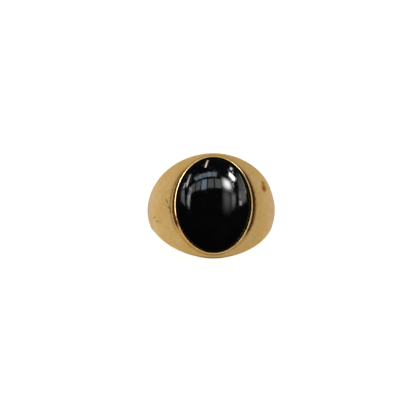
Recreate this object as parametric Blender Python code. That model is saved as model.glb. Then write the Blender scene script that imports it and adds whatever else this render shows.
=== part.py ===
"""A man's cabochon signet ring: a cast band, an oval bezel collet soldered into its head, and a domed stone.

Metres, +Z up. The finger bore runs along Y and the stone faces +Z. The origin is the lowest point of the shank.
Heights named "above the axis" are measured up from the bore's axis, to which every piece is parented.
"""

from math import asin, atan, atan2, cos, pi, radians, sin, sqrt, tan

import bmesh
import bpy

MM = 0.001

# Band: the wall's thickness and half width at four stations round the bore, from the head to the back of the shank.
BORE_RADIUS = 9.5 * MM  # a man's ring of about US size 9
HEAD_WALL = 2.30 * MM
SHOULDER_WALL = 2.60 * MM
SIDE_WALL = 2.00 * MM
SHANK_WALL = 1.70 * MM
HEAD_HALF_WIDTH = 9.12 * MM
SHOULDER_HALF_WIDTH = 4.30 * MM
SHANK_HALF_WIDTH = 2.60 * MM
SHANK_TAPER_FROM = radians(30)
SHANK_PARALLEL_FROM = radians(150)  # past this angle from the head the shank's sides are flat and parallel
SHOULDER_FLARE = 1.10  # how soon the shoulders narrow going away from the head
FLARE_BLEND = 4.0  # how tightly the flare turns into the parallel shank
HEAD_CROWN = 0.30 * MM  # how far the outside falls from its middle to its edges
SIDE_CROWN = 0.80 * MM
SHANK_CROWN = 0.45 * MM
CROWN_POWER = 2.0
OUTER_EDGE_RADIUS = 0.25 * MM
INNER_EDGE_RADIUS = 0.20 * MM

# Setting: every oval is the stone's girdle grown by an offset.
STONE_HALF_WIDTH = 6.60 * MM
STONE_HALF_LENGTH = 8.37 * MM
STONE_DOME = 2.50 * MM
GIRDLE_WALL = 0.60 * MM
FIT_GAP = 0.04 * MM  # solder, cement or running room left between two pieces
LEDGE_WEB = 0.60 * MM  # metal left between the bore and the collet's ledge
WINDOW_OFFSET = -1.00 * MM  # the opening in the ledge, under the back plate
SOLDER_THICKNESS = 0.12 * MM
PLATE_THICKNESS = 0.50 * MM
BEARING_HEIGHT = 0.70 * MM
BEARING_WIDTH = 0.70 * MM
COLLET_OUTSIDE = 0.23 * MM  # offset of the rim's outer side
TENON_OUTSIDE = 0.35 * MM  # offset of the part let into the band
COLLET_DRAFT = radians(14)  # the collet's wall spreads downwards
FOOT_THICKNESS = 0.12 * MM
LIP_OVERLAP = 0.05 * MM
LIP_HEIGHT = 0.33 * MM  # the burnished edge's rise above the girdle
RIM_BEAD = 0.13 * MM

BORE_AXIS_HEIGHT = BORE_RADIUS + SHANK_WALL
LEDGE_RADIUS = BORE_RADIUS + LEDGE_WEB
PLATE_BASE = LEDGE_RADIUS + FIT_GAP  # above the axis, as are the next four
BEARING_BASE = PLATE_BASE + PLATE_THICKNESS + FIT_GAP
STONE_BASE = BEARING_BASE + BEARING_HEIGHT + FIT_GAP
GIRDLE_TOP = STONE_BASE + GIRDLE_WALL
RIM_TOP = GIRDLE_TOP + LIP_HEIGHT + RIM_BEAD
CUTTER_TOP = RIM_TOP + STONE_DOME  # clear of the head
CUTTER_BASE = 0.5 * BORE_RADIUS  # inside the bore

BAND_STATIONS = 120
OVAL_SEGMENTS = 96
CROWN_STEPS = 9
EDGE_STEPS = 3
BORE_STEPS = 4
DOME_RINGS = 14
SHARP_ANGLE = radians(35)


def smooth(share):
    """Eases from 0 to 1 with level ends."""
    share = min(max(share, 0.0), 1.0)
    return share * share * (3 - 2 * share)


def between(angle, start, end, low, high):
    return low + (high - low) * smooth((angle - start) / (end - start))


def wall(angle):
    """Thickness of the band at its middle, at an angle from the head."""
    if angle < pi / 4:
        return between(angle, 0, pi / 4, HEAD_WALL, SHOULDER_WALL)
    if angle < pi / 2:
        return between(angle, pi / 4, pi / 2, SHOULDER_WALL, SIDE_WALL)
    return between(angle, pi / 2, pi, SIDE_WALL, SHANK_WALL)


def crown(angle):
    if angle < pi / 2:
        return between(angle, 0, pi / 2, HEAD_CROWN, SIDE_CROWN)
    return between(angle, pi / 2, SHANK_PARALLEL_FROM, SIDE_CROWN, SHANK_CROWN)


def half_width(angle):
    """Half the band's width: an oval plan at the head that flows into the tapering shank."""
    shank = between(angle, SHANK_TAPER_FROM, SHANK_PARALLEL_FROM, SHOULDER_HALF_WIDTH, SHANK_HALF_WIDTH)
    if angle >= pi / 2:
        return shank
    head = HEAD_HALF_WIDTH * cos(angle) ** SHOULDER_FLARE
    return (head**FLARE_BLEND + shank**FLARE_BLEND) ** (1 / FLARE_BLEND)


def outside_radius(angle, y):
    """Distance from the bore's axis to the band's outside."""
    share = min(abs(y) / half_width(angle), 1.0)
    return BORE_RADIUS + wall(angle) - crown(angle) * share**CROWN_POWER


def band_height(x, y):
    """Height above the axis of the band's outside over a point of the plan."""
    height = BORE_RADIUS
    for _ in range(8):
        height = sqrt(outside_radius(atan2(abs(x), height), y) ** 2 - x * x)
    return height


def half_section(angle):
    """The band's section from the middle of its outside to the middle of the bore, as (y, distance from the axis)."""
    width = half_width(angle)
    slope = atan(crown(angle) * CROWN_POWER / width)
    crown_end = width - OUTER_EDGE_RADIUS * (1 - sin(slope))
    edge_centre = outside_radius(angle, crown_end) - OUTER_EDGE_RADIUS * cos(slope)
    points = []
    for i in range(CROWN_STEPS):
        y = crown_end * i / CROWN_STEPS
        points.append((y, outside_radius(angle, y)))
    for i in range(EDGE_STEPS + 1):
        turn = slope + (pi / 2 - slope) * i / EDGE_STEPS
        y = width - OUTER_EDGE_RADIUS * (1 - sin(turn))
        points.append((y, edge_centre + OUTER_EDGE_RADIUS * cos(turn)))
    for i in range(EDGE_STEPS + 1):
        turn = pi / 2 * i / EDGE_STEPS
        y = width - INNER_EDGE_RADIUS * (1 - cos(turn))
        points.append((y, BORE_RADIUS + INNER_EDGE_RADIUS * (1 - sin(turn))))
    for i in range(1, BORE_STEPS):
        points.append(((width - INNER_EDGE_RADIUS) * (1 - i / BORE_STEPS), BORE_RADIUS))
    points.append((0.0, BORE_RADIUS))
    return points


def band_section(station):
    turn = 2 * pi * station / BAND_STATIONS
    right = half_section(min(turn, 2 * pi - turn))
    left = [(-y, radius) for y, radius in right[-2:0:-1]]
    return [(radius * sin(turn), y, radius * cos(turn)) for y, radius in right + left]


def oval_point(segment, offset, height):
    """A point on the girdle's oval grown by an offset."""
    turn = 2 * pi * segment / OVAL_SEGMENTS
    return ((STONE_HALF_WIDTH + offset) * cos(turn), (STONE_HALF_LENGTH + offset) * sin(turn), height)


def oval(offset, height):
    return [oval_point(i, offset, height) for i in range(OVAL_SEGMENTS)]


def saddle(segment, offset, radius):
    """A point of the oval lying on a cylinder round the bore's axis."""
    x, y, _ = oval_point(segment, offset, 0.0)
    return (x, y, sqrt(radius * radius - x * x))


def foot_point(segment, rise):
    """Where the collet's drafted wall meets the band's outside, raised a little."""
    offset = COLLET_OUTSIDE
    for _ in range(8):
        x, y, _ = oval_point(segment, offset, 0.0)
        height = band_height(x, y)
        offset = COLLET_OUTSIDE + tan(COLLET_DRAFT) * (GIRDLE_TOP - height)
    offset = max(offset, TENON_OUTSIDE)
    return oval_point(segment, offset, height + rise)


def collet_section(segment):
    """One section of the collet: tenon, foot on the band, drafted wall, rim bead, lip and inner wall."""
    tenon_x, tenon_y, _ = oval_point(segment, TENON_OUTSIDE, 0.0)
    tenon_top = band_height(tenon_x, tenon_y) + FIT_GAP
    foot_radius = LEDGE_RADIUS + SOLDER_THICKNESS + 2 * FIT_GAP
    section = [
        saddle(segment, FIT_GAP, foot_radius),
        saddle(segment, TENON_OUTSIDE, foot_radius),
        (tenon_x, tenon_y, tenon_top),
        foot_point(segment, FIT_GAP),
        foot_point(segment, FIT_GAP + FOOT_THICKNESS),
    ]
    bead_centre = COLLET_OUTSIDE - RIM_BEAD
    for i in range(2 * EDGE_STEPS + 1):
        turn = pi * i / (2 * EDGE_STEPS)
        section.append(
            oval_point(segment, bead_centre + RIM_BEAD * cos(turn), RIM_TOP - RIM_BEAD * (1 - sin(turn)))
        )
    section.append(oval_point(segment, -LIP_OVERLAP, RIM_TOP - RIM_BEAD))
    section.append(oval_point(segment, FIT_GAP, GIRDLE_TOP))
    return section


def solder_section(segment):
    low = LEDGE_RADIUS + FIT_GAP
    return [
        saddle(segment, FIT_GAP, low),
        saddle(segment, TENON_OUTSIDE, low),
        saddle(segment, TENON_OUTSIDE, low + SOLDER_THICKNESS),
        saddle(segment, FIT_GAP, low + SOLDER_THICKNESS),
    ]


def stone_rings():
    """The cabochon's flat base, upright girdle and a dome that is a circular arc across the stone."""
    arc = (STONE_HALF_WIDTH**2 + STONE_DOME**2) / (2 * STONE_DOME)
    edge_turn = asin(STONE_HALF_WIDTH / arc)
    rings = [oval(0.0, 0.0)]
    for ring in range(DOME_RINGS):
        turn = edge_turn * (1 - ring / DOME_RINGS)
        share = arc * sin(turn) / STONE_HALF_WIDTH
        height = GIRDLE_WALL + STONE_DOME - arc * (1 - cos(turn))
        rings.append([(x * share, y * share, height) for x, y, _ in oval(0.0, 0.0)])
    return rings


def lofted(loops, cyclic):
    """A closed bmesh of quads through loops of points. Ends that aren't joined to each other are capped."""
    bm = bmesh.new()
    rows = [[bm.verts.new(point) for point in loop] for loop in loops]
    following = rows[1:] + rows[:1] if cyclic else rows[1:]
    for first, second in zip(rows, following):
        for i in range(len(first)):
            bm.faces.new((first[i - 1], first[i], second[i], second[i - 1]))
    if not cyclic:
        bm.faces.new(rows[0])
        bm.faces.new(rows[-1])
    bmesh.ops.recalc_face_normals(bm, faces=bm.faces)
    return bm


def add_object(name, bm, parent, height, material=None):
    mesh = bpy.data.meshes.new(name)
    bm.to_mesh(mesh)
    bm.free()
    mesh.shade_smooth()
    mesh.set_sharp_from_angle(angle=SHARP_ANGLE)
    obj = bpy.data.objects.new(name, mesh)
    bpy.context.scene.collection.objects.link(obj)
    obj.parent = parent
    obj.location = (0.0, 0.0, height)
    if material:
        mesh.materials.append(material)
    return obj


def add_cutter(name, bm, parent, height):
    cutter = add_object(name, bm, parent, height)
    cutter.hide_render = True
    cutter.display_type = "WIRE"
    return cutter


def subtract(target, cutter):
    modifier = target.modifiers.new(cutter.name, "BOOLEAN")
    modifier.operation = "DIFFERENCE"
    modifier.solver = "EXACT"
    modifier.object = cutter


def finish(name, color, metallic, roughness):
    material = bpy.data.materials.new(name)
    material.use_nodes = True
    shader = material.node_tree.nodes["Principled BSDF"]
    shader.inputs["Base Color"].default_value = (*color, 1.0)
    shader.inputs["Metallic"].default_value = metallic
    shader.inputs["Roughness"].default_value = roughness
    return material


def add_band(axis, material):
    """The cast band, with an oval recess down to a ledge round the bore and a smaller window through the ledge."""
    loops = [band_section(station) for station in range(BAND_STATIONS)]
    band = add_object("ring_band", lofted(loops, cyclic=True), axis, 0.0, material)

    bm = bmesh.new()
    bmesh.ops.create_cone(
        bm,
        cap_ends=True,
        segments=2 * BAND_STATIONS,
        radius1=LEDGE_RADIUS,
        radius2=LEDGE_RADIUS,
        depth=4 * STONE_HALF_LENGTH,
    )
    ledge = add_cutter("ledge_cylinder", bm, axis, 0.0)
    ledge.rotation_euler = (pi / 2, 0.0, 0.0)

    recess_offset = TENON_OUTSIDE + FIT_GAP
    recess_loops = [oval(recess_offset, CUTTER_BASE), oval(recess_offset, CUTTER_TOP)]
    recess = add_cutter("recess_cutter", lofted(recess_loops, cyclic=False), axis, 0.0)
    subtract(recess, ledge)
    subtract(band, recess)

    window_loops = [oval(WINDOW_OFFSET, CUTTER_BASE), oval(WINDOW_OFFSET, CUTTER_TOP)]
    subtract(band, add_cutter("window_cutter", lofted(window_loops, cyclic=False), axis, 0.0))


def add_setting(axis, materials):
    """Everything let into the head, from the solder up to the stone."""
    segments = range(OVAL_SEGMENTS)
    solder = lofted([solder_section(i) for i in segments], cyclic=True)
    add_object("solder_seam", solder, axis, 0.0, materials["solder"])

    collet = lofted([collet_section(i) for i in segments], cyclic=True)
    add_object("bezel_collet", collet, axis, 0.0, materials["bezel_gold"])

    plate = lofted([oval(0.0, 0.0), oval(0.0, PLATE_THICKNESS)], cyclic=False)
    add_object("back_plate", plate, axis, PLATE_BASE, materials["bezel_gold"])

    inside = -BEARING_WIDTH
    bearing_loops = [oval(0.0, 0.0), oval(0.0, BEARING_HEIGHT), oval(inside, BEARING_HEIGHT), oval(inside, 0.0)]
    add_object("stone_bearing", lofted(bearing_loops, cyclic=True), axis, BEARING_BASE, materials["bezel_gold"])

    bed = inside - FIT_GAP
    cement = lofted([oval(bed, 0.0), oval(bed, BEARING_HEIGHT)], cyclic=False)
    add_object("bedding_cement", cement, axis, BEARING_BASE, materials["cement"])

    add_object("onyx_cabochon", lofted(stone_rings(), cyclic=False), axis, STONE_BASE, materials["onyx"])


def main():
    for obj in list(bpy.data.objects):
        bpy.data.objects.remove(obj)
    axis = bpy.data.objects.new("bore_axis", None)
    bpy.context.scene.collection.objects.link(axis)
    axis.location = (0.0, 0.0, BORE_AXIS_HEIGHT)
    materials = {
        "band_gold": finish("band_gold", (0.80, 0.55, 0.22), 1.0, 0.42),
        "bezel_gold": finish("bezel_gold", (0.88, 0.63, 0.26), 1.0, 0.22),
        "solder": finish("solder", (0.78, 0.66, 0.40), 1.0, 0.50),
        "cement": finish("cement", (0.62, 0.56, 0.42), 0.0, 0.70),
        "onyx": finish("onyx", (0.010, 0.010, 0.012), 0.0, 0.05),
    }
    add_band(axis, materials["band_gold"])
    add_setting(axis, materials)


main()
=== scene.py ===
"""Looks of the cabochon signet ring: fine meshes for the band, the collet and the stone, their worn metal and
polished onyx, and a small daylight studio. Lengths are in metres. +Z points from the shank to the stone."""

from math import asin, atan, atan2, cos, exp, hypot, pi, radians, sin, sqrt, tan

import bmesh
import bpy
from mathutils import Matrix, Vector, noise


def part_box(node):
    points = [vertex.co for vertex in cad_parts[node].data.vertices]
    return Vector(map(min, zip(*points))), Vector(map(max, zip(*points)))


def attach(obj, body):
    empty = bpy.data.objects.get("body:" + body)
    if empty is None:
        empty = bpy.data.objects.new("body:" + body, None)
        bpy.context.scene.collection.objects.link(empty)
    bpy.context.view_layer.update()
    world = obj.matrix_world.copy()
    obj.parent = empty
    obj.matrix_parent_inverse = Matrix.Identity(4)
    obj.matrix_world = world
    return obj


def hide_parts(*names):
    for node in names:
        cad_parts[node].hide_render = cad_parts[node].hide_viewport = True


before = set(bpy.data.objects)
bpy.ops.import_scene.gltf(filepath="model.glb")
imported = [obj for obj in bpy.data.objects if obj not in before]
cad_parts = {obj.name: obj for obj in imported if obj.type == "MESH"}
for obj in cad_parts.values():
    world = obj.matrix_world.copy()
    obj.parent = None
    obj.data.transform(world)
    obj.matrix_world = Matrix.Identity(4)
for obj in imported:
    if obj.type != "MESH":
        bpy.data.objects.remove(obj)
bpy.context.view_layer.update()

MM = 0.001
ROOT = "root"

# The band, as in the CAD model: wall and half width at stations round the bore, counted from the head.
BORE_RADIUS = 9.5 * MM
HEAD_WALL = 2.30 * MM
SHOULDER_WALL = 2.60 * MM
SIDE_WALL = 2.00 * MM
SHANK_WALL = 1.70 * MM
HEAD_HALF_WIDTH = 9.12 * MM
SHOULDER_HALF_WIDTH = 4.30 * MM
SHANK_HALF_WIDTH = 2.60 * MM
SHANK_TAPER_FROM = radians(30)
SHANK_PARALLEL_FROM = radians(150)
SHOULDER_FLARE = 1.10
FLARE_BLEND = 4.0
HEAD_CROWN = 0.30 * MM
SIDE_CROWN = 0.80 * MM
SHANK_CROWN = 0.45 * MM
CROWN_POWER = 2.0
OUTER_EDGE_RADIUS = 0.25 * MM
INNER_EDGE_RADIUS = 0.20 * MM
LEDGE_RADIUS = BORE_RADIUS + 0.60 * MM
LEDGE_CUTTER_LENGTH = 40 * MM  # longer than the recess, which it leaves a round floor in

# The stone: its straight side below the widest line, and the bevel round its base.
GIRDLE_HEIGHT = 0.60 * MM
BASE_BEVEL = 0.15 * MM

# The collet's section, as offsets from the stone's girdle.
RECESS_OFFSET = 0.39 * MM
WINDOW_OFFSET = -1.00 * MM
TENON_OUTSIDE = 0.35 * MM
COLLET_OUTSIDE = 0.23 * MM
COLLET_DRAFT = radians(14)
COVE_POWER = 2.0  # how hollow the wall is between the rim and its foot: 1 would be straight
COVE_CROWDING = 1.6  # its sections crowd towards the rim, where 1 would space them evenly
COVE_STEPS = 16
FIT_GAP = 0.04 * MM
LIP_OVERLAP = 0.05 * MM
LIP_CLEARANCE = 0.13 * MM  # above the girdle: just clear of the dome
RIM_BEAD = 0.13 * MM
FOOT_THICKNESS = 0.06 * MM
TENON_BASE = LEDGE_RADIUS + 0.20 * MM

# How finely the meshes are made.
BAND_STATIONS = 360
CROWN_STEPS = 44
EDGE_STEPS = 6
BORE_STEPS = 14
OVAL_SEGMENTS = 288
DOME_RINGS = 40
SHARP_ANGLE = radians(35)
SETTLE_ROUNDS = 12  # for places that are found by coming closer and closer

# Wear.
CAST_WAVINESS = 0.010 * MM
CAST_WAVE_LENGTH = 2.6 * MM
PIT_PLACE = (9.02 * MM, 3.72 * MM)
PIT_TILT = radians(10)
PIT_HALF_LENGTH = 1.15 * MM
PIT_HALF_WIDTH = 0.46 * MM
PIT_DEPTH = 0.20 * MM
PIT_DENTS = ((-0.30, 0.60, 1.0), (0.45, 0.55, 0.62))  # place along it, reach (both in half lengths) and depth
PIT_STATIONS = 18  # extra stations of the band on each side of the pit's middle
PIT_STATION_STEP = radians(0.28)
# Painted shade, partly dirt, round the collet: in the corner at its foot on the band and on its wall under
# the rim, where the steep wall mirrors dark and shade falls. None in front, most where the wall is high.
SHADE_AND_DIRT_FROM = (-0.66, -0.88)  # where it starts at the left and the right, as shares of the stone's half length
SHADE_AND_DIRT_FULL_AT = -0.30
SHADE_AND_DIRT_LESS_FROM = 0.60  # towards the back it gets less again
SHADE_AND_DIRT_LEAST_AT = 0.90
SHADE_AND_DIRT_LEAST = 0.35
SHADE_AND_DIRT_LEFT = 0.85  # painted shade and dirt on the left as a share of that on the right
SHADE_AND_DIRT_REACH = (0.08 * MM, 0.16 * MM)  # how far it spreads over the band, in front and behind
SHADE_AND_DIRT_THICKNESS = 1.5  # in the corner itself, where 1 covers the metal
FOOT_SHADE_AND_DIRT = (0.10, 0.70)  # at the collet's foot, left and back right, as shares of the painted shade and dirt under its rim
SHADE_AND_DIRT_RISE = (0.40, 0.22)  # where it gets to its thickest there, as shares of the wall's height
# From this share of the wall's height up to the rim, the painted shade and dirt fade away.
RIM_UNDARKENED_FROM = 0.90
RIM_SHADE_AND_DIRT_REACH = 0.13 * MM  # how far the painted shade and dirt reach over the rim, from the stone's edge
STONE_DIRT_FROM = 0.990  # the stone's edge under the rim, as a share of its half width
STONE_DIRT_REACH = 0.04 * MM
SKIN = 0.3 * MM  # how deep under the band's outside its surface still counts as outside
FOOT_PLACES = 720  # places round the collet at which its foot's distance is worked out

# Studio: a room whose walls are this far from the ring, in which light comes from panels.
ROOM = 0.6

# Camera: straight over the stone, a little to the left of it and to the front.
CAMERA_DISTANCE = 0.350
CAMERA_LEAN_LEFT = radians(2.0)
CAMERA_LEAN_FRONT = radians(4.7)
CAMERA_AIM = (-0.56 * MM, 0.48 * MM)  # beside the bore's axis, at its height
CAMERA_LENS_MM = 167.6
SENSOR_MM = 36.0


def smooth(share):
    """Eases from 0 to 1 with level ends."""
    share = min(max(share, 0.0), 1.0)
    return share * share * (3 - 2 * share)


def mixed(pair, share):
    """A value between the two of a pair: those at the left and the right, or in front and behind."""
    return pair[0] + (pair[1] - pair[0]) * share


def between(angle, start, end, low, high):
    return low + (high - low) * smooth((angle - start) / (end - start))


# ---------------------------------------------------------------- shapes of the band


def wall(angle):
    """Thickness of the band at its middle, at an angle from the head."""
    if angle < pi / 4:
        return between(angle, 0, pi / 4, HEAD_WALL, SHOULDER_WALL)
    if angle < pi / 2:
        return between(angle, pi / 4, pi / 2, SHOULDER_WALL, SIDE_WALL)
    return between(angle, pi / 2, pi, SIDE_WALL, SHANK_WALL)


def crown(angle):
    if angle < pi / 2:
        return between(angle, 0, pi / 2, HEAD_CROWN, SIDE_CROWN)
    return between(angle, pi / 2, SHANK_PARALLEL_FROM, SIDE_CROWN, SHANK_CROWN)


def half_width(angle):
    shank = between(angle, SHANK_TAPER_FROM, SHANK_PARALLEL_FROM, SHOULDER_HALF_WIDTH, SHANK_HALF_WIDTH)
    if angle >= pi / 2:
        return shank
    head = HEAD_HALF_WIDTH * cos(angle) ** SHOULDER_FLARE
    return (head**FLARE_BLEND + shank**FLARE_BLEND) ** (1 / FLARE_BLEND)


def outside_radius(angle, y):
    """Distance from the bore's axis to the band's outside."""
    share = min(abs(y) / half_width(angle), 1.0)
    return BORE_RADIUS + wall(angle) - crown(angle) * share**CROWN_POWER


def band_height(x, y):
    """Height above the axis of the band's outside over a point of the plan."""
    height = BORE_RADIUS
    for _ in range(SETTLE_ROUNDS):
        height = sqrt(outside_radius(atan2(abs(x), height), y) ** 2 - x * x)
    return height


def half_section(angle):
    """Half the band's section, from the middle of its outside to the middle of the bore, as (y, radius)."""
    width = half_width(angle)
    slope = atan(crown(angle) * CROWN_POWER / width)
    crown_end = width - OUTER_EDGE_RADIUS * (1 - sin(slope))
    edge_centre = outside_radius(angle, crown_end) - OUTER_EDGE_RADIUS * cos(slope)
    points = []
    for i in range(CROWN_STEPS):
        y = crown_end * i / CROWN_STEPS
        points.append((y, outside_radius(angle, y)))
    for i in range(EDGE_STEPS + 1):
        turn = slope + (pi / 2 - slope) * i / EDGE_STEPS
        y = width - OUTER_EDGE_RADIUS * (1 - sin(turn))
        points.append((y, edge_centre + OUTER_EDGE_RADIUS * cos(turn)))
    for i in range(EDGE_STEPS + 1):
        turn = pi / 2 * i / EDGE_STEPS
        y = width - INNER_EDGE_RADIUS * (1 - cos(turn))
        points.append((y, BORE_RADIUS + INNER_EDGE_RADIUS * (1 - sin(turn))))
    for i in range(1, BORE_STEPS):
        points.append(((width - INNER_EDGE_RADIUS) * (1 - i / BORE_STEPS), BORE_RADIUS))
    points.append((0.0, BORE_RADIUS))
    return points


def band_section(turn):
    right = half_section(min(turn, 2 * pi - turn))
    left = [(-y, radius) for y, radius in right[-2:0:-1]]
    return [(radius * sin(turn), y, radius * cos(turn)) for y, radius in right + left]


# ---------------------------------------------------------------- shapes of the setting


class Setting:
    """Ovals and heights of the setting, read from the frame and measured above the bore's axis."""

    def __init__(self, axis_height):
        low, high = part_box("onyx_cabochon")
        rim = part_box("bezel_collet")[1]
        self.half_width = high.x
        self.half_length = high.y
        self.stone_base = low.z - axis_height
        self.stone_top = high.z - axis_height
        self.girdle_top = self.stone_base + GIRDLE_HEIGHT
        self.rim_top = rim.z - axis_height

    def point(self, turn, offset, height):
        return ((self.half_width + offset) * cos(turn), (self.half_length + offset) * sin(turn), height)

    def saddle(self, turn, offset, radius):
        """A point of the oval lying on a cylinder round the bore's axis."""
        x, y, _ = self.point(turn, offset, 0.0)
        return (x, y, sqrt(radius * radius - x * x))

    def oval(self, offset, height):
        turns = [2 * pi * i / OVAL_SEGMENTS for i in range(OVAL_SEGMENTS)]
        return [self.point(turn, offset, height) for turn in turns]

    def foot(self, turn, rise):
        """Where the collet's drafted wall meets the band's outside, raised a little."""
        offset = COLLET_OUTSIDE
        for _ in range(SETTLE_ROUNDS):
            x, y, _ = self.point(turn, offset, 0.0)
            height = band_height(x, y)
            offset = COLLET_OUTSIDE + tan(COLLET_DRAFT) * (self.girdle_top - height)
        return self.point(turn, max(offset, TENON_OUTSIDE), height + rise)

    def foot_distances(self, count):
        """How far the foot is from the middle of the stone, all the way round."""
        feet = [self.foot(2 * pi * i / count, 0.0) for i in range(count)]
        return [hypot(x, y) for x, y, _ in feet]

    def shade_and_dirt(self, x, y):
        """How much painted shade, partly dirt, the corner at the collet's foot gets: none in front, most
        where the wall is high.
        """
        right = smooth(0.5 + x / self.half_width)
        share = y / self.half_length
        start = mixed(SHADE_AND_DIRT_FROM, right)
        behind = smooth((share - start) / (SHADE_AND_DIRT_FULL_AT - start))
        less = (1 - SHADE_AND_DIRT_LEAST) * smooth((share - SHADE_AND_DIRT_LESS_FROM) / (SHADE_AND_DIRT_LEAST_AT - SHADE_AND_DIRT_LESS_FROM))
        return behind * (1 - less) * (SHADE_AND_DIRT_LEFT + (1 - SHADE_AND_DIRT_LEFT) * right)


def collet_section(setting, turn):
    """One section of the collet: tenon, foot on the band, drafted wall, rim bead, lip and inner wall."""
    tenon_x, tenon_y, _ = setting.point(turn, TENON_OUTSIDE, 0.0)
    tenon_top = band_height(tenon_x, tenon_y) + FIT_GAP
    low = Vector(setting.foot(turn, FIT_GAP + FOOT_THICKNESS))
    high = Vector(setting.point(turn, COLLET_OUTSIDE, setting.rim_top - RIM_BEAD))
    section = [
        setting.saddle(turn, FIT_GAP, TENON_BASE),
        setting.saddle(turn, TENON_OUTSIDE, TENON_BASE),
        (tenon_x, tenon_y, tenon_top),
        setting.foot(turn, FIT_GAP),
    ]
    for i in range(COVE_STEPS):
        rise = 1 - (1 - i / COVE_STEPS) ** COVE_CROWDING
        out = (1 - rise) ** COVE_POWER
        x = high.x + (low.x - high.x) * out
        y = high.y + (low.y - high.y) * out
        section.append((x, y, low.z + (high.z - low.z) * rise))
    bead_centre = COLLET_OUTSIDE - RIM_BEAD
    for i in range(2 * EDGE_STEPS + 1):
        around = pi * i / (2 * EDGE_STEPS)
        height = setting.rim_top - RIM_BEAD * (1 - sin(around))
        section.append(setting.point(turn, bead_centre + RIM_BEAD * cos(around), height))
    section.append(setting.point(turn, -LIP_OVERLAP, setting.girdle_top + LIP_CLEARANCE))
    section.append(setting.point(turn, FIT_GAP, setting.girdle_top))
    return section


def stone_rings(setting):
    dome = setting.stone_top - setting.girdle_top
    arc = (setting.half_width**2 + dome**2) / (2 * dome)
    edge_turn = asin(setting.half_width / arc)
    base = setting.stone_base
    rings = [setting.oval(-BASE_BEVEL, base), setting.oval(0.0, base + BASE_BEVEL)]
    for ring in range(DOME_RINGS):
        turn = edge_turn * (1 - ring / DOME_RINGS)
        share = arc * sin(turn) / setting.half_width
        height = setting.stone_top - arc * (1 - cos(turn))
        rings.append([(x * share, y * share, height) for x, y, _ in setting.oval(0.0, 0.0)])
    return rings


# ---------------------------------------------------------------- meshes


def lofted(loops, cyclic):
    """A closed bmesh of quads through loops of points. Ends that aren't joined to each other are closed."""
    bm = bmesh.new()
    rows = [[bm.verts.new(point) for point in loop] for loop in loops]
    following = rows[1:] + rows[:1] if cyclic else rows[1:]
    for first, second in zip(rows, following):
        for i in range(len(first)):
            bm.faces.new((first[i - 1], first[i], second[i], second[i - 1]))
    if not cyclic:
        for row in (rows[0], rows[-1]):
            tip = bm.verts.new(sum((v.co for v in row), Vector()) / len(row))
            for i in range(len(row)):
                bm.faces.new((row[i - 1], row[i], tip))
    bmesh.ops.recalc_face_normals(bm, faces=bm.faces)
    return bm


def add_object(name, bm, height):
    bmesh.ops.translate(bm, verts=bm.verts, vec=(0.0, 0.0, height))
    mesh = bpy.data.meshes.new(name)
    bm.to_mesh(mesh)
    bm.free()
    obj = bpy.data.objects.new(name, mesh)
    bpy.context.scene.collection.objects.link(obj)
    return obj


def smooth_shade(obj):
    obj.data.shade_smooth()
    obj.data.set_sharp_from_angle(angle=SHARP_ANGLE)


def subtract(target, cutter):
    """Cuts one mesh out of another for good, and throws the cutter away."""
    modifier = target.modifiers.new("cut", "BOOLEAN")
    modifier.operation = "DIFFERENCE"
    modifier.solver = "EXACT"
    modifier.object = cutter
    depsgraph = bpy.context.evaluated_depsgraph_get()
    cut = bpy.data.meshes.new_from_object(target.evaluated_get(depsgraph), depsgraph=depsgraph)
    target.modifiers.clear()
    target.data = cut
    bpy.data.objects.remove(cutter)


def store(obj, name, values):
    """Keeps one number for each vertex, for the material to read."""
    attribute = obj.data.attributes.new(name, "FLOAT", "POINT")
    attribute.data.foreach_set("value", values)


# ---------------------------------------------------------------- materials


RANGE_SOCKETS = ("From Min", "From Max", "To Min", "To Max")


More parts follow.
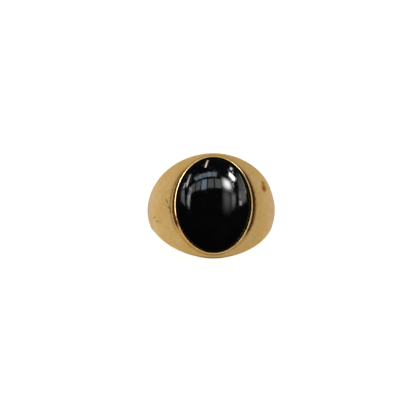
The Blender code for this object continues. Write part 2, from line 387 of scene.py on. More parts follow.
class Shader:
    """A node material in the making. Each method adds a node and returns what comes out of it."""

    def __init__(self, name):
        self.material = bpy.data.materials.new(name)
        self.material.use_nodes = True
        self.tree = self.material.node_tree
        self.surface = self.tree.nodes["Principled BSDF"]
        coordinates = self.tree.nodes.new("ShaderNodeTexCoord")
        self.millimetres = self.stretch(coordinates.outputs["Object"], (MM, MM, MM))

    def put(self, socket, value):
        if isinstance(value, bpy.types.NodeSocket):
            self.tree.links.new(value, socket)
        elif isinstance(value, tuple) and len(value) == 3 and socket.type == "RGBA":
            socket.default_value = (*value, 1.0)
        else:
            socket.default_value = value

    def set(self, **inputs):
        for name, value in inputs.items():
            self.put(self.surface.inputs[name.replace("_", " ")], value)

    def stretch(self, vector, size=(1.0, 1.0, 1.0), turn=(0.0, 0.0, 0.0), origin=(0.0, 0.0, 0.0)):
        """Moves and turns the pattern's axes, then makes its features longer along each of them."""
        node = self.tree.nodes.new("ShaderNodeMapping")
        node.vector_type = "TEXTURE"
        self.put(node.inputs["Vector"], vector)
        self.put(node.inputs["Location"], origin)
        self.put(node.inputs["Rotation"], turn)
        self.put(node.inputs["Scale"], size)
        return node.outputs["Vector"]

    def axes(self, vector):
        node = self.tree.nodes.new("ShaderNodeSeparateXYZ")
        self.put(node.inputs["Vector"], vector)
        return node.outputs

    def attribute(self, name):
        node = self.tree.nodes.new("ShaderNodeAttribute")
        node.attribute_name = name
        return node.outputs["Fac"]

    def noise(self, size, detail=3.0, vector=None, roughness=0.5):
        """Noise whose features are about this many millimetres across."""
        node = self.tree.nodes.new("ShaderNodeTexNoise")
        self.put(node.inputs["Vector"], vector or self.millimetres)
        self.put(node.inputs["Scale"], 1.0 / size)
        self.put(node.inputs["Detail"], detail)
        self.put(node.inputs["Roughness"], roughness)
        return node.outputs["Fac"]

    def math(self, operation, first, second=0.0, third=0.0):
        node = self.tree.nodes.new("ShaderNodeMath")
        node.operation = operation
        for socket, value in zip(node.inputs, (first, second, third)):
            self.put(socket, value)
        return node.outputs["Value"]

    def step(self, value, start, end, low=0.0, high=1.0):
        """Goes smoothly from low to high as value goes from start to end."""
        node = self.tree.nodes.new("ShaderNodeMapRange")
        node.interpolation_type = "SMOOTHSTEP"
        for name, number in zip(RANGE_SOCKETS, (start, end, low, high)):
            self.put(node.inputs[name], number)
        self.put(node.inputs["Value"], value)
        return node.outputs["Result"]

    def mix(self, share, first, second):
        node = self.tree.nodes.new("ShaderNodeMix")
        node.data_type = "RGBA"
        for socket, value in zip([s for s in node.inputs if s.enabled], (share, first, second)):
            self.put(socket, value)
        return next(s for s in node.outputs if s.enabled)

    def bump(self, height, depth, normal=None):
        """Bump whose height of 1 stands this many millimetres proud."""
        node = self.tree.nodes.new("ShaderNodeBump")
        self.put(node.inputs["Distance"], depth * MM)
        self.put(node.inputs["Height"], height)
        if normal:
            self.put(node.inputs["Normal"], normal)
        return node.outputs["Normal"]

    def hairlines(self, spacing, width, turn, seed):
        """Fine scratches: level lines of noise that is stretched one way, broken up by coarser noise that is
        turned by the seed."""
        along = self.stretch(self.millimetres, (12.0, 1.0, 3.0), turn)
        field = self.noise(spacing, 1.0, vector=along)
        line = self.math("ABSOLUTE", self.math("SUBTRACT", field, 0.5))
        line = self.step(line, 0.0, width / spacing, 1.0, 0.0)
        patches = self.stretch(self.millimetres, (2.0, 1.0, 1.0), (seed, 0.0, seed))
        return self.math("MULTIPLY", line, self.step(self.noise(1.2, 2.0, vector=patches), 0.48, 0.62))

    def stroke(self, start, end, width, ragged):
        """A mark drawn from one place of the plan to another, seen from above, in millimetres."""
        run = Vector((end[0] - start[0], end[1] - start[1]))
        turn = (0.0, 0.0, atan2(run.y, run.x))
        along, across = self.axes(self.stretch(self.millimetres, turn=turn, origin=(*start, 0.0)))[:2]
        past = self.math("ABSOLUTE", self.math("SUBTRACT", along, run.length / 2))
        past = self.math("MAXIMUM", self.math("SUBTRACT", past, run.length / 2), 0.0)
        aside = self.math("ADD", across, ragged)
        squares = self.math("ADD", self.math("POWER", past, 2.0), self.math("POWER", aside, 2.0))
        return self.step(self.math("SQRT", squares), 0.25 * width, width, 1.0, 0.0)

    def strokes(self, marks):
        """Ragged, broken marks on the ring's upper side."""
        ragged = self.math("MULTIPLY", self.math("SUBTRACT", self.noise(0.35, 3.0), 0.5), 0.35)
        drawn = 0.0
        for start, end, width, strength in marks:
            mark = self.math("MULTIPLY", self.stroke(start, end, width, ragged), strength)
            drawn = self.math("MAXIMUM", mark, drawn)
        height = self.axes(self.millimetres)["Z"]
        drawn = self.math("MULTIPLY", drawn, self.step(height, *MARKS_FADE_IN))
        return self.math("MULTIPLY", drawn, self.step(self.noise(0.3, 2.0), 0.30, 0.52, 0.25, 1.0))


GOLD = (0.80, 0.52, 0.175)
GOLD_PALE = (0.83, 0.565, 0.225)
GOLD_BRIGHT = (0.95, 0.68, 0.34)
GOLD_DEEP = (0.70, 0.41, 0.12)
BEZEL_GOLD = (0.86, 0.60, 0.27)
# Dark bronze: soot on the hidden gold, and painted shade, partly dirt, round the collet's foot and on its
# wall.
TARNISH_AND_SHADE = (0.10, 0.045, 0.012)
SCRATCH = (0.20, 0.09, 0.022)
GRIME = (0.022, 0.014, 0.008)
# Painted shade, partly dirt, on the collet's wall under its rim, laid on as dark patina.
PATINA_AND_SHADE = (0.16, 0.092, 0.032)
PATINA_AND_SHADE_EDGE = (0.30, 0.22, 0.15)  # how much of it is left at grazing angles, where clean metal turns white
# The pit's orange, set bright like the highlight on its upper dent: partly its own colour, partly a painted
# highlight. Its core darkens the deeper, lower dent.
PIT_ORANGE_AND_HIGHLIGHT = (0.55, 0.25, 0.035)
PIT_CORE = (0.20, 0.095, 0.02)
ONYX = ((0.0012, 0.0012, 0.0016), (0.0022, 0.0023, 0.0030))
DUST = (0.05, 0.05, 0.055)
SOLDER = ((0.70, 0.58, 0.34), (0.50, 0.38, 0.18))
CEMENT = ((0.50, 0.43, 0.30), (0.30, 0.24, 0.15))
MARKS_FADE_IN = (11.0, 13.0)  # heights above the table between which marks appear, in millimetres

# Old scratches on the left shoulder, in millimetres of the plan: start, end, half width and strength.
SCRATCHES = (
    ((-8.25, 1.20), (-8.00, 0.75), 0.19, 0.9),
    ((-8.05, 0.75), (-7.85, 0.30), 0.10, 0.7),
    ((-8.90, 0.85), (-7.95, -0.35), 0.08, 0.5),
    ((-7.80, 0.00), (-7.60, -0.40), 0.17, 1.0),
    ((-7.60, -0.45), (-6.95, -1.80), 0.20, 1.0),
    ((-10.30, -1.75), (-10.15, -1.85), 0.24, 0.5),
    ((-9.95, -2.45), (-9.65, -2.50), 0.28, 0.5),
    ((-9.65, -2.55), (-9.30, -2.80), 0.16, 0.4),
)

# Painted shade, partly stains, in dark strokes along the collet's lower left wall, given in the same way.
SHADE_AND_STAIN_STROKES = (
    ((-7.20, -0.90), (-6.60, -2.50), 0.16, 1.0),
    ((-6.60, -2.30), (-5.75, -4.20), 0.14, 1.0),
    ((-6.62, -1.90), (-6.25, -3.30), 0.12, 1.0),
)


def paint_gold(name, pale, rough_low, rough_high, scratch_depth, dimples):
    """Worn yellow metal. The shader keeps its colour, roughness and normal, for more to be put over them."""
    shader = Shader(name)
    broad = shader.noise(3.5, 3.0)
    fine = shader.noise(0.35, 4.0, roughness=0.6)
    flecks = shader.noise(0.75, 5.0, roughness=0.75)
    colour = shader.mix(shader.step(broad, 0.35, 0.65), GOLD, pale)
    colour = shader.mix(shader.step(flecks, 0.52, 0.68, 0.0, 0.5), colour, GOLD_BRIGHT)
    colour = shader.mix(shader.step(flecks, 0.48, 0.32, 0.0, 0.5), colour, GOLD_DEEP)
    colour = shader.mix(shader.step(fine, 0.40, 0.75, 0.0, 0.28), colour, GOLD_DEEP)
    lines = shader.hairlines(0.16, 0.010, (0.0, 0.0, radians(24)), 0.4)
    for turn, seed in ((-38, 1.1), (71, 1.9), (108, 2.7)):
        more = shader.hairlines(0.22, 0.012, (0.0, radians(20), radians(turn)), seed)
        lines = shader.math("MAXIMUM", lines, more)
    rough = shader.step(shader.noise(0.9, 4.0, roughness=0.6), 0.3, 0.7, rough_low, rough_high)
    rough = shader.math("ADD", rough, shader.math("MULTIPLY", lines, 0.12))
    normal = shader.bump(shader.math("MULTIPLY", lines, -1.0), scratch_depth)
    normal = shader.bump(fine, dimples, normal)
    shader.set(Metallic=1.0, Roughness=rough, Normal=normal, Base_Color=colour)
    shader.colour, shader.rough, shader.normal = colour, rough, normal
    return shader


def paint_band():
    shader = paint_gold("worn_gold", GOLD_PALE, 0.28, 0.40, 0.004, 0.004)
    # Painted shade, partly dirt, in the corner round the collet's foot, laid on as dark tarnish.
    grime_and_shade = shader.attribute("grime_and_shade")
    pit = shader.attribute("pit")
    blotches = shader.noise(0.45, 4.0, roughness=0.65)
    shade_and_tarnish = shader.math("MULTIPLY", shader.step(blotches, 0.30, 0.60, 0.6, 1.0), grime_and_shade)
    colour = shader.mix(shade_and_tarnish, shader.colour, TARNISH_AND_SHADE)

    marks = shader.math("MULTIPLY", shader.strokes(SCRATCHES), shader.attribute("outside"))
    colour = shader.mix(shader.math("MULTIPLY", marks, 0.8), colour, SCRATCH)

    pit = shader.math("MULTIPLY_ADD", shader.math("SUBTRACT", shader.noise(0.30, 4.0), 0.5), 0.3, pit)
    # Orange over the pit, partly a painted highlight on its upper dent; darker in the deeper dent's core.
    colour = shader.mix(shader.step(pit, 0.15, 0.60), colour, PIT_ORANGE_AND_HIGHLIGHT)
    colour = shader.mix(shader.step(pit, 0.72, 0.98, 0.0, 0.7), colour, PIT_CORE)
    worn = shader.math("MULTIPLY", shader.math("MAXIMUM", marks, pit), 0.25)
    rough = shader.math("ADD", shader.rough, worn)
    normal = shader.bump(shader.math("MULTIPLY", marks, -1.0), 0.02, shader.normal)
    shader.set(Base_Color=colour, Roughness=rough, Normal=normal)
    return shader.material


def paint_bezel():
    shader = paint_gold("bright_gold", BEZEL_GOLD, 0.12, 0.20, 0.002, 0.0006)
    # Painted shade, partly dirt, on the collet: inside its rim and on its wall under it, laid on as dark
    # patina.
    ragged = shader.math("SUBTRACT", shader.noise(0.45, 4.0, roughness=0.6), 0.5)
    shade_and_dirt = shader.math("MULTIPLY_ADD", ragged, 0.5, shader.attribute("grime_and_shade"))
    shade_and_dirt = shader.math("MAXIMUM", shader.step(shade_and_dirt, 0.12, 0.78), shader.strokes(SHADE_AND_STAIN_STROKES))
    dark = shader.mix(shader.step(shader.noise(0.8, 3.0), 0.35, 0.75, 0.0, 0.7), PATINA_AND_SHADE, TARNISH_AND_SHADE)
    shader.set(
        Base_Color=shader.mix(shade_and_dirt, shader.colour, dark),
        Roughness=shader.math("MULTIPLY_ADD", shade_and_dirt, 0.18, shader.rough),
        Specular_Tint=shader.mix(shade_and_dirt, (1.0, 1.0, 1.0), PATINA_AND_SHADE_EDGE),
    )
    return shader.material


def paint_inner_gold():
    shader = paint_gold("inner_gold", GOLD_PALE, 0.35, 0.55, 0.003, 0.004)
    soot = shader.step(shader.noise(0.9, 5.0, roughness=0.65), 0.40, 0.80, 0.0, 0.35)
    shader.set(Base_Color=shader.mix(soot, shader.colour, TARNISH_AND_SHADE))
    return shader.material


def paint_onyx():
    shader = Shader("polished_onyx")
    cloud = shader.noise(2.5, 4.0)
    colour = shader.mix(shader.step(cloud, 0.4, 0.7), *ONYX)
    dust = shader.step(shader.noise(0.16, 2.0), 0.73, 0.80)
    colour = shader.mix(shader.math("MULTIPLY", dust, 0.5), colour, DUST)
    grime_and_shade = shader.math("MULTIPLY", shader.attribute("grime_and_shade"), shader.step(shader.noise(0.5, 3.0), 0.45, 0.6))
    colour = shader.mix(grime_and_shade, colour, GRIME)
    lines = shader.hairlines(0.30, 0.006, (0.0, 0.0, radians(55)), 0.7)
    lines = shader.math("MAXIMUM", lines, shader.hairlines(0.26, 0.006, (0.0, 0.0, radians(-20)), 2.2))
    rough = shader.step(shader.noise(1.4, 3.0), 0.35, 0.7, 0.035, 0.075)
    rough = shader.math("ADD", rough, shader.math("MULTIPLY", shader.math("MAXIMUM", lines, grime_and_shade), 0.18))
    normal = shader.bump(shader.math("MULTIPLY", lines, -1.0), 0.0008)
    shader.set(Base_Color=colour, Roughness=rough, Normal=normal, IOR=1.54)
    return shader.material


def paint_solder():
    shader = Shader("solder")
    colour = shader.mix(shader.noise(0.4), *SOLDER)
    rough = shader.step(shader.noise(0.3), 0.3, 0.7, 0.35, 0.60)
    shader.set(Base_Color=colour, Roughness=rough, Metallic=1.0, Normal=shader.bump(shader.noise(0.2), 0.01))
    return shader.material


def paint_cement():
    shader = Shader("cement")
    colour = shader.mix(shader.noise(0.5, 4.0), *CEMENT)
    shader.set(Base_Color=colour, Roughness=0.75, Normal=shader.bump(shader.noise(0.15, 4.0), 0.03))
    return shader.material


# ---------------------------------------------------------------- pieces


def pit_share(x, y):
    """How deep the worn pit is at a place of the plan, from 0 to 1: two overlapping dents."""
    across, along = x - PIT_PLACE[0], y - PIT_PLACE[1]
    side = (across * cos(PIT_TILT) + along * sin(PIT_TILT)) / PIT_HALF_WIDTH
    up = (along * cos(PIT_TILT) - across * sin(PIT_TILT)) / PIT_HALF_LENGTH
    return max(depth * exp(-(side**2) - ((up - place) / reach) ** 2) for place, reach, depth in PIT_DENTS)


def band_turns():
    """Stations round the bore, closer together where the pit is."""
    turns = {round(2 * pi * i / BAND_STATIONS, 6) for i in range(BAND_STATIONS)}
    pit_turn = asin(PIT_PLACE[0] / (BORE_RADIUS + SHOULDER_WALL))
    for i in range(-PIT_STATIONS, PIT_STATIONS + 1):
        turns.add(round(pit_turn + PIT_STATION_STEP * i, 6))
    return sorted(turns)


def wear_band(bm):
    """Makes the casting a little uneven and sinks the pit, inwards only, so that the band doesn't grow."""
    bm.normal_update()
    for vert in bm.verts:
        x, y, z = vert.co
        radius = hypot(x, z)
        if radius < BORE_RADIUS + INNER_EDGE_RADIUS:
            continue
        waves = noise.noise(vert.co / CAST_WAVE_LENGTH)
        depth = CAST_WAVINESS * (0.5 + 0.5 * waves)
        if x > 0 and z > 0:
            depth += PIT_DEPTH * pit_share(x, y)
        vert.co -= vert.normal * depth


def ledge_cutter(axis_height):
    bm = bmesh.new()
    bmesh.ops.create_cone(
        bm,
        cap_ends=True,
        segments=BAND_STATIONS,
        radius1=LEDGE_RADIUS,
        radius2=LEDGE_RADIUS,
        depth=LEDGE_CUTTER_LENGTH,
    )
    for vert in bm.verts:
        vert.co = Vector((vert.co.x, vert.co.z, -vert.co.y))
    return add_object("ledge_cutter", bm, axis_height)


def build_band(setting, axis_height):
    bm = lofted([band_section(turn) for turn in band_turns()], cyclic=True)
    wear_band(bm)
    band = add_object("band", bm, axis_height)
    top = setting.stone_top
    bottom = 0.5 * BORE_RADIUS
    recess_loops = [setting.oval(RECESS_OFFSET, bottom), setting.oval(RECESS_OFFSET, top)]
    recess = add_object("recess_cutter", lofted(recess_loops, cyclic=False), axis_height)
    subtract(recess, ledge_cutter(axis_height))
    subtract(band, recess)
    window_loops = [setting.oval(WINDOW_OFFSET, bottom), setting.oval(WINDOW_OFFSET, top)]
    subtract(band, add_object("window_cutter", lofted(window_loops, cyclic=False), axis_height))
    smooth_shade(band)

    grime_and_shade, pit, outsides = [], [], []
    distances = setting.foot_distances(FOOT_PLACES)
    for vert in band.data.vertices:
        x, y, z = vert.co.x, vert.co.y, vert.co.z - axis_height
        turn = atan2(y / setting.half_length, x / setting.half_width)
        away = hypot(x, y) - distances[round(turn / (2 * pi) * len(distances)) % len(distances)]
        outside = hypot(x, z) > outside_radius(abs(atan2(x, z)), y) - SKIN
        # Painted shade, partly dirt, in the corner round the collet's foot: thickest there, fading over the
        # band.
        reach = mixed(SHADE_AND_DIRT_REACH, smooth(0.5 + y / setting.half_length))
        thick = min(SHADE_AND_DIRT_THICKNESS * exp(-max(away, 0.0) / reach), 1.0)
        grime_and_shade.append(thick * setting.shade_and_dirt(x, y) if outside and z > 0 else 0.0)
        pit.append(pit_share(x, y) if outside and z > 0 and x > 0 else 0.0)
        outsides.append(float(outside))
    store(band, "grime_and_shade", grime_and_shade)
    store(band, "pit", pit)
    store(band, "outside", outsides)
    band.data.materials.clear()
    band.data.materials.append(paint_band())
    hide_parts("ring_band")
    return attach(band, ROOT)


def collet_shade_and_dirt(setting, x, y, height):
    """Painted shade, partly dirt, lies inside the rim and, outside, thickest just under it."""
    share = hypot(x / setting.half_width, y / setting.half_length)
    inside = 1 - smooth(hypot(x, y) * (1 - 1 / share) / RIM_SHADE_AND_DIRT_REACH)
    foot = band_height(x, y)
    rise = (height - foot) / (setting.rim_top - RIM_BEAD - foot)
    right = smooth(0.5 + x / setting.half_width)
    at_foot = mixed(FOOT_SHADE_AND_DIRT, right * smooth(0.5 + 1.5 * y / setting.half_length))
    under = at_foot + (1 - at_foot) * smooth(rise / mixed(SHADE_AND_DIRT_RISE, right))
    under *= 1 - smooth((rise - RIM_UNDARKENED_FROM) / (1 - RIM_UNDARKENED_FROM))
    return max(inside, under * setting.shade_and_dirt(x, y))


def build_collet(setting, axis_height):
    turns = [2 * pi * i / OVAL_SEGMENTS for i in range(OVAL_SEGMENTS)]
    bm = lofted([collet_section(setting, turn) for turn in turns], cyclic=True)
    collet = add_object("bezel", bm, axis_height)
    smooth_shade(collet)
    places = [(v.co.x, v.co.y, v.co.z - axis_height) for v in collet.data.vertices]
    store(collet, "grime_and_shade", [collet_shade_and_dirt(setting, *place) for place in places])
    collet.data.materials.append(paint_bezel())
    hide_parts("bezel_collet")
    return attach(collet, ROOT)


def build_stone(setting, axis_height):
    stone = add_object("onyx", lofted(stone_rings(setting), cyclic=False), axis_height)
    smooth_shade(stone)
    # On the stone this is grime only, brownish at its edge under the collet's lip.
    grime_and_shade = []
    for vert in stone.data.vertices:
        share = hypot(vert.co.x / setting.half_width, vert.co.y / setting.half_length)
        grime_and_shade.append(exp(-max(STONE_DIRT_FROM - share, 0.0) * setting.half_width / STONE_DIRT_REACH))
    store(stone, "grime_and_shade", grime_and_shade)
    stone.data.materials.append(paint_onyx())
    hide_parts("onyx_cabochon")
    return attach(stone, ROOT)


def paint_hidden_nodes(nodes):
    inner_gold = paint_inner_gold()
    finishes = {
        "back_plate": inner_gold,
        "stone_bearing": inner_gold,
        "solder_seam": paint_solder(),
        "bedding_cement": paint_cement(),
    }
    for name, material in finishes.items():
        nodes[name].data.materials.clear()
        nodes[name].data.materials.append(material)


# ---------------------------------------------------------------- studio


class Glow:
    """A material that gives off light and lets rays through, so that lights don't hide one another."""

    def __init__(self, name, colour):
        self.material = bpy.data.materials.new(name)
        self.material.use_nodes = True
        self.tree = self.material.node_tree
        self.tree.nodes.clear()
        output = self.tree.nodes.new("ShaderNodeOutputMaterial")
        self.emission = self.tree.nodes.new("ShaderNodeEmission")
        self.emission.inputs["Color"].default_value = (*colour, 1.0)
        clear = self.tree.nodes.new("ShaderNodeBsdfTransparent")
        both = self.tree.nodes.new("ShaderNodeAddShader")
        self.tree.links.new(self.emission.outputs["Emission"], both.inputs[0])
        self.tree.links.new(clear.outputs["BSDF"], both.inputs[1])
        self.tree.links.new(both.outputs["Shader"], output.inputs["Surface"])

    def ramp(self, value, start, end, low, high):
        node = self.tree.nodes.new("ShaderNodeMapRange")
        node.interpolation_type = "SMOOTHSTEP"
        self.tree.links.new(value, node.inputs["Value"])
        for name, number in zip(RANGE_SOCKETS, (start, end, low, high)):
            node.inputs[name].default_value = number
        return node.outputs["Result"]

    def times(self, first, second):
        node = self.tree.nodes.new("ShaderNodeMath")
        node.operation = "MULTIPLY"
        self.tree.links.new(first, node.inputs[0])
        self.tree.links.new(second, node.inputs[1])
        return node.outputs["Value"]

    def axes(self, coordinate):
        coordinates = self.tree.nodes.new("ShaderNodeTexCoord")
        split = self.tree.nodes.new("ShaderNodeSeparateXYZ")
        self.tree.links.new(coordinates.outputs[coordinate], split.inputs["Vector"])
        return split.outputs

    def fade(self, start, end, feather):
        """Light from start to end up the panel, fading at its edges over a share of its size."""
        across, up = self.axes("UV")[:2]
        light = self.ramp(up, 0.0, 1.0, start, end)
        for side in (across, up):
            light = self.times(light, self.ramp(side, 0.0, feather, 0.0, 1.0))
            light = self.times(light, self.ramp(side, 1.0, 1.0 - feather, 0.0, 1.0))
        self.tree.links.new(light, self.emission.inputs["Strength"])


def receivers(name, objects):
    """The objects that a light is for. What the stone mirrors would burn out the satin metal."""
    collection = bpy.data.collections.new(name)
    for obj in objects:
        collection.objects.link(obj)
    return collection


def add_light(name, mesh, material, lit):
    mesh.materials.append(material)
    light = bpy.data.objects.new(name, mesh)
    bpy.context.scene.collection.objects.link(light)
    light.visible_camera = False
    light.visible_shadow = False
    light.light_linking.receiver_collection = lit


def add_panel(name, lit, corners, colour, start, end, feather):
    """A glowing four-sided panel. Its corners are in units of the room's size, from the top of the stone. The
    light goes from start at the edge between the first two corners to end at the opposite edge."""
    origin = Vector((0.0, 0.0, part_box("onyx_cabochon")[1].z))
    mesh = bpy.data.meshes.new(name)
    mesh.from_pydata([origin + ROOM * Vector(corner) for corner in corners], [], [(0, 1, 2, 3)])
    layer = mesh.uv_layers.new(name="UVMap")
    for loop, uv in zip(layer.data, ((0, 0), (1, 0), (1, 1), (0, 1))):
        loop.uv = uv
    glow = Glow(name, colour)
    glow.fade(start, end, feather)
    add_light(name, mesh, glow.material, lit)


DAYLIGHT = (0.66, 0.83, 1.0)
GREY = (1.0, 1.0, 1.0)
WARM = (1.0, 0.86, 0.74)
CANDLE = (1.0, 0.97, 0.88)


def back_wall(x, z):
    return (x, 1.0, z)


def front_wall(x, z):
    return (x, -1.0, z)


def ceiling(x, y):
    return (x, y, 1.0)


def left_wall(y, z):
    return (-1.0, y, z)


def right_wall(y, z):
    return (1.0, y, z)


def rectangle(plane, low, high):
    """Corners of an upright rectangle of a wall or of the ceiling, from two opposite ones."""
    return [plane(*low), plane(high[0], low[1]), plane(*high), plane(low[0], high[1])]


# The window: where its panes are along the back wall and up it, how soft their edges are, and the light of
# each.
PANES_LEFT = -0.97
PANE_PITCH = 0.235
PANE_WIDTH = 0.215
PANE_HEIGHTS = (0.87, 1.10)
PANE_FEATHER = 0.02
PANES = (3.1, 3.7, 3.2, 3.9, 3.4)

# Parts of the ceiling that the window lights: left end, right end and light.
CEILING_DEPTHS = (0.47, 0.82)
CEILING_FEATHER = 0.12
CEILING_STRIPS = ((-1.20, -0.82, 1.4), (-0.79, -0.52, 1.5), (-0.22, 0.05, 1.5), (0.07, 0.36, 1.6))

# What else the stone mirrors of the room, plane by plane. Each glow has four corners there, its colour, the
# light at its first and at its last edge, and how soft its edges are.
ROOM_GLOWS = {
    ceiling: {
        "ceiling_blue": (
            ((-0.49, 0.45), (-0.25, 0.45), (-0.25, 0.82), (-0.49, 0.82)), DAYLIGHT, 4.0, 4.0, 0.08
        ),
        "ceiling_glow": (((0.32, 0.4), (1.0, 0.4), (1.0, 0.98), (0.32, 0.98)), GREY, 21.0, 21.0, 0.45),
        "ceiling_haze": (((0.3, -0.25), (0.84, -0.25), (0.84, 0.55), (0.3, 0.55)), GREY, 0.4, 1.9, 0.4),
        "ceiling_shine": (((0.7, -0.2), (1.14, 0.0), (1.22, 0.58), (0.74, 0.55)), GREY, 0.9, 3.4, 0.4),
        "ceiling_lamp": (((1.0, 0.66), (1.13, 0.7), (1.09, 0.88), (1.01, 0.88)), WARM, 10.0, 8.0, 0.25),
    },
    back_wall: {
        "lamp_right": (((0.66, 0.63), (1.22, 0.74), (1.3, 1.0), (0.74, 0.86)), GREY, 55.0, 55.0, 0.25),
        "spot_right": (((0.66, 0.38), (0.8, 0.38), (0.8, 0.53), (0.66, 0.53)), GREY, 16.0, 16.0, 0.3),
        "link_right": (((0.8, 0.53), (0.86, 0.52), (0.93, 0.61), (0.87, 0.66)), GREY, 8.0, 8.0, 0.2),
        "curtain_gap": (((-0.12, 0.24), (-0.08, 0.24), (-0.25, 0.63), (-0.31, 0.62)), WARM, 9.0, 18.0, 0.05),
    },
    right_wall: {
        "right_high": (((0.34, 0.25), (0.44, 0.66), (0.92, 0.58), (0.92, 0.3)), GREY, 1.5, 0.5, 0.28),
        "right_low": (((0.12, 0.25), (0.46, 0.24), (0.56, 0.66), (0.0, 0.8)), GREY, 2.1, 1.5, 0.25),
        "right_rim": (((0.28, 0.24), (0.28, 0.29), (0.92, 0.33), (0.92, 0.29)), GREY, 4.5, 2.0, 0.1),
        "right_streak": (((0.23, 0.57), (0.39, 0.54), (0.4, 0.63), (0.24, 0.68)), GREY, 3.5, 3.5, 0.3),
        "right_gleam": (((0.06, 0.54), (0.18, 0.5), (0.2, 0.68), (0.08, 0.69)), WARM, 10.0, 10.0, 0.2),
    },
    left_wall: {
        "lamp_left": (((1.07, 0.63), (1.05, 0.51), (0.5, 0.5), (0.51, 0.62)), GREY, 10.0, 34.0, 0.2),
        "left_outer_top": (((0.44, 0.37), (0.44, 0.45), (0.64, 0.49), (0.62, 0.42)), GREY, 7.0, 7.0, 0.2),
        "left_outer": (((0.02, 0.64), (0.17, 0.34), (0.46, 0.33), (0.46, 0.5)), GREY, 1.3, 2.2, 0.2),
        "left_inner_top": (((0.3, 0.72), (0.34, 0.95), (0.66, 0.96), (0.64, 0.72)), GREY, 5.0, 9.0, 0.25),
        "left_inner": (((-0.1, 0.9), (0.08, 0.66), (0.48, 0.7), (0.5, 0.95)), GREY, 4.0, 9.0, 0.3),
    },
}


def light_stone(lit):
    """What the stone mirrors: a window of five panes, the ceiling that it lights, and the room's glows."""
    low, high = PANE_HEIGHTS
    for i, strength in enumerate(PANES):
        left = PANES_LEFT + PANE_PITCH * i
        pane = rectangle(back_wall, (left, low), (left + PANE_WIDTH, high))
        add_panel(f"window_pane_{i}", lit, pane, DAYLIGHT, strength, strength, PANE_FEATHER)
    near, far = CEILING_DEPTHS
    for i, (left, right, strength) in enumerate(CEILING_STRIPS):
        strip = rectangle(ceiling, (left, near), (right, far))
        add_panel(f"ceiling_strip_{i}", lit, strip, GREY, strength, strength, CEILING_FEATHER)
    for plane, glows in ROOM_GLOWS.items():
        for name, (corners, *light) in glows.items():
            add_panel(name, lit, [plane(*corner) for corner in corners], *light)


# Soft lights that pick out the collet's rim: faint in front, and brightest towards both back corners. Each
# has its wall, two opposite corners there, colour, light and how soft its edges are.
RIM_LIGHTS = {
    "rim_front": (front_wall, (-1.0, 0.0), (1.0, 1.2), CANDLE, 1.5, 0.3),
    "rim_left": (left_wall, (-0.25, 0.2), (1.2, 2.0), CANDLE, 6.0, 0.2),
    "rim_left_corner": (left_wall, (0.35, 0.2), (1.1, 2.0), DAYLIGHT, 15.0, 0.3),
    "rim_right_corner": (back_wall, (0.45, 0.3), (1.35, 1.8), DAYLIGHT, 10.0, 0.3),
}


def light_rim(lit):
    for name, (wall_plane, low, high, colour, strength, feather) in RIM_LIGHTS.items():
        add_panel(name, lit, rectangle(wall_plane, low, high), colour, strength, strength, feather)


TENT_LIGHT = (0.50, 0.43)  # on the left and on the right
TENT_RADIUS = 2.0
TENT_COLOUR = (1.0, 0.98, 0.95)

# How the tent's light changes along an axis: between two places, in radii from its middle, and between two
# shares of the light.
TENT_CHANGES = (
    ("Z", 0.0, 1.0, 1.1, 1.0),
    ("Z", -0.7, 0.0, 1.15, 1.0),
    ("Z", -1.0, -0.85, 0.7, 1.0),
    ("Y", -0.92, -0.58, 0.02, 1.25),
    ("Y", 0.5, 1.0, 0.95, 1.35),
)


def light_tent(lit):
    """Soft light from all round, for the metal and the table: dimmer on the right, dark straight in front."""
    bm = bmesh.new()
    bmesh.ops.create_uvsphere(bm, u_segments=48, v_segments=24, radius=TENT_RADIUS)
    mesh = bpy.data.meshes.new("tent")
    bm.to_mesh(mesh)
    bm.free()
    glow = Glow("tent", TENT_COLOUR)
    split = glow.axes("Object")
    light = glow.ramp(split["X"], -TENT_RADIUS, TENT_RADIUS, *TENT_LIGHT)
    for axis, start, end, low, high in TENT_CHANGES:
        share = glow.ramp(split[axis], start * TENT_RADIUS, end * TENT_RADIUS, low, high)
        light = glow.times(light, share)
    glow.tree.links.new(light, glow.emission.inputs["Strength"])
    add_light("tent", mesh, glow.material, lit)


TABLE_LIGHT = 0.7
TABLE_LIGHT_HEIGHT = 1.1  # and its half side, in units of the room's size
TABLE_LIGHT_HALF_SIDE = 1.2


def light_table(lit):
    """A wide panel over everything, which leaves a soft shadow on the table."""
    side, height = TABLE_LIGHT_HALF_SIDE, TABLE_LIGHT_HEIGHT
    corners = [(-side, -side, height), (side, -side, height), (side, side, height), (-side, side, height)]
    add_panel("table_light", lit, corners, GREY, TABLE_LIGHT, TABLE_LIGHT, 0.2)


WORLD_LIGHT = 0.015


def add_world():
    """Almost dark, and plain white for the camera."""
    world = bpy.data.worlds.new("room")
    world.use_nodes = True
    tree = world.node_tree
    background = tree.nodes["Background"]
    background.inputs["Color"].default_value = (1.0, 1.0, 1.0, 1.0)
    seen = tree.nodes.new("ShaderNodeLightPath")
    choose = tree.nodes.new("ShaderNodeMix")
    choose.data_type = "FLOAT"
    factor, dark, white = [socket for socket in choose.inputs if socket.enabled]
    tree.links.new(seen.outputs["Is Camera Ray"], factor)
    dark.default_value = WORLD_LIGHT
    white.default_value = 1.0
    tree.links.new(next(socket for socket in choose.outputs if socket.enabled), background.inputs["Strength"])
    bpy.context.scene.world = world


TABLE_HALF_SIDE = 2.0
TABLE_PALE = 0.88
TABLE_LIFT = 0.45  # light the camera sees in the table over what falls on it, as in an overexposed background


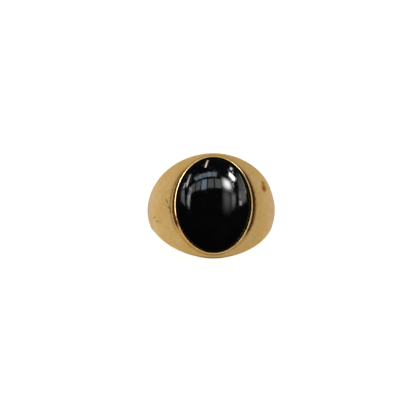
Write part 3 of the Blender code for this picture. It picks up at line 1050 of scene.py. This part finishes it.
def add_table():
    """A plain pale table, which is clear from below and which the ring doesn't mirror."""
    material = bpy.data.materials.new("pale_table")
    material.use_nodes = True
    tree = material.node_tree
    shader = tree.nodes["Principled BSDF"]
    shader.inputs["Base Color"].default_value = (TABLE_PALE, TABLE_PALE, TABLE_PALE, 1.0)
    shader.inputs["Roughness"].default_value = 0.85
    shader.inputs["Specular IOR Level"].default_value = 0.2
    shader.inputs["Emission Color"].default_value = (1.0, 1.0, 1.0, 1.0)
    seen = tree.nodes.new("ShaderNodeLightPath")
    lift = tree.nodes.new("ShaderNodeMath")
    lift.operation = "MULTIPLY"
    lift.inputs[1].default_value = TABLE_LIFT
    tree.links.new(seen.outputs["Is Camera Ray"], lift.inputs[0])
    tree.links.new(lift.outputs["Value"], shader.inputs["Emission Strength"])
    geometry = tree.nodes.new("ShaderNodeNewGeometry")
    clear = tree.nodes.new("ShaderNodeBsdfTransparent")
    mix = tree.nodes.new("ShaderNodeMixShader")
    tree.links.new(geometry.outputs["Backfacing"], mix.inputs[0])
    tree.links.new(shader.outputs["BSDF"], mix.inputs[1])
    tree.links.new(clear.outputs["BSDF"], mix.inputs[2])
    tree.links.new(mix.outputs["Shader"], tree.nodes["Material Output"].inputs["Surface"])
    mesh = bpy.data.meshes.new("table")
    side = TABLE_HALF_SIDE
    corners = [(-side, -side, 0), (side, -side, 0), (side, side, 0), (-side, side, 0)]
    mesh.from_pydata(corners, [], [(0, 1, 2, 3)])
    mesh.materials.append(material)
    table = bpy.data.objects.new("table", mesh)
    bpy.context.scene.collection.objects.link(table)
    table.visible_diffuse = False
    table.visible_glossy = False
    table.visible_shadow = False
    return table


def add_camera(axis_height):
    camera = bpy.data.cameras.new("camera")
    camera.lens = CAMERA_LENS_MM
    camera.sensor_width = SENSOR_MM
    camera.clip_start = MM
    obj = bpy.data.objects.new("camera", camera)
    bpy.context.scene.collection.objects.link(obj)
    back = Vector((-tan(CAMERA_LEAN_LEFT), -tan(CAMERA_LEAN_FRONT), 1.0)).normalized()
    target = Vector((*CAMERA_AIM, axis_height))
    right = Vector((0.0, 1.0, 0.0)).cross(back).normalized()
    turn = Matrix((right, back.cross(right), back)).transposed()
    obj.matrix_world = Matrix.Translation(target + CAMERA_DISTANCE * back) @ turn.to_4x4()
    bpy.context.scene.camera = obj


def main():
    axis_height = BORE_RADIUS + SHANK_WALL
    setting = Setting(axis_height)
    band = build_band(setting, axis_height)
    collet = build_collet(setting, axis_height)
    stone = build_stone(setting, axis_height)
    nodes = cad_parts
    paint_hidden_nodes(nodes)
    table = add_table()
    light_stone(receivers("stone_lights", [stone]))
    light_rim(receivers("rim_lights", [collet]))
    light_tent(receivers("tent_light", [band, collet, table, *nodes.values()]))
    light_table(receivers("table_light", [table]))
    add_world()
    add_camera(axis_height)
    bpy.context.scene.view_settings.view_transform = "Standard"


main()
